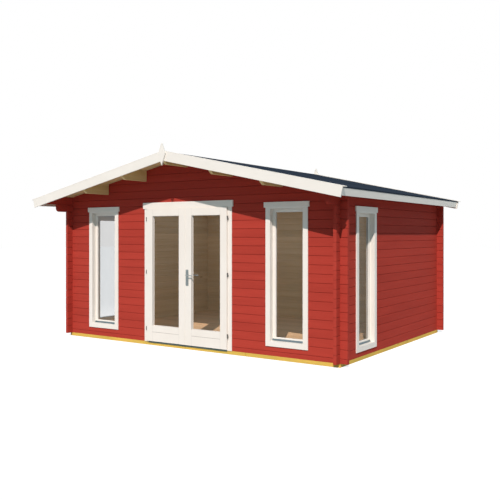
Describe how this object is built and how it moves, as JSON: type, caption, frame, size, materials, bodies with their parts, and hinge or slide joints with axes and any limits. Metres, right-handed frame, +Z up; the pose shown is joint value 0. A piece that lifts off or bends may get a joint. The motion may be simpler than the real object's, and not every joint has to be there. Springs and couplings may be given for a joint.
{
  "type": "garden log cabin",
  "caption": "Red log cabin with a low gable roof, glazed double doors, tall side windows and white trim.",
  "frame": {"origin": "on the ground under the middle of the roof, at the centre of the box that holds the cabin", "axes": "+Z up, the front with the doors faces -Y, +X to the right along the front as seen from outside"},
  "size_m": [5.4348, 4.371, 2.8511],
  "materials": {
    "beam_wood": "pressure treated, rough",
    "floor_wood": "planed, bare",
    "red_logs": "satin stain",
    "bare_wood": "planed, bare",
    "roofing_felt": "mineral felt",
    "white_trim": "satin paint",
    "glazing": "clear",
    "drip_metal": "brushed",
    "threshold_metal": "matt",
    "handle_steel": "brushed",
    "hinge_steel": "satin"
  },
  "bodies": {
    "cabin": {"front_beam": "beam_wood", "back_beam": "beam_wood", "side_beams": "beam_wood", "floor_joists": "beam_wood", "floor_boards": "floor_wood", "front_wall_left": "red_logs", "front_wall_right": "red_logs", "front_gable": "red_logs", "back_wall": "red_logs", "left_wall": "red_logs", "right_wall": "red_logs", "bracket_logs": "red_logs", "purlins": "bare_wood", "left_roof_boards": "bare_wood", "right_roof_boards": "bare_wood", "left_roofing": "roofing_felt", "right_roofing": "roofing_felt", "ridge_strip": "roofing_felt", "front_bargeboards": "white_trim", "back_bargeboards": "white_trim", "front_bargeboard_caps": "white_trim", "back_bargeboard_caps": "white_trim", "eave_fascias": "white_trim", "front_finial": "white_trim", "back_finial": "white_trim", "front_window_frames": "white_trim", "side_window_frames": "white_trim", "front_window_sashes": "white_trim", "side_window_sashes": "white_trim", "front_window_glass": "glazing", "side_window_glass": "glazing", "window_drips": "drip_metal", "left_door_jamb": "white_trim", "right_door_jamb": "white_trim", "door_head": "white_trim", "threshold": "threshold_metal", "hinge_pins": "hinge_steel"},
    "left_door": {"left_door_leaf": "white_trim", "left_door_glass": "glazing", "left_door_hinges": "hinge_steel"},
    "right_door": {"right_door_leaf": "white_trim", "right_door_glass": "glazing", "right_door_hinges": "hinge_steel", "handle_plates": "handle_steel"},
    "lever": {"door_lever": "handle_steel"}
  },
  "joints": [
    {"name": "left_door_hinge", "type": "hinge", "parent": "cabin", "child": "left_door", "pos_m": [-0.735, -1.6795, 0.3], "axis": [0, 0, -1], "range_deg": [0, 110]},
    {"name": "right_door_hinge", "type": "hinge", "parent": "cabin", "child": "right_door", "pos_m": [0.735, -1.6795, 0.3], "axis": [0, 0, 1], "range_deg": [0, 110]},
    {"name": "lever_turn", "type": "hinge", "parent": "right_door", "child": "lever", "pos_m": [0.04, -1.6645, 1.047], "axis": [0, 1, 0], "range_deg": [0, 40], "stiffness_Nm_per_rad": 1, "springref_deg": -17.19}
  ]
}
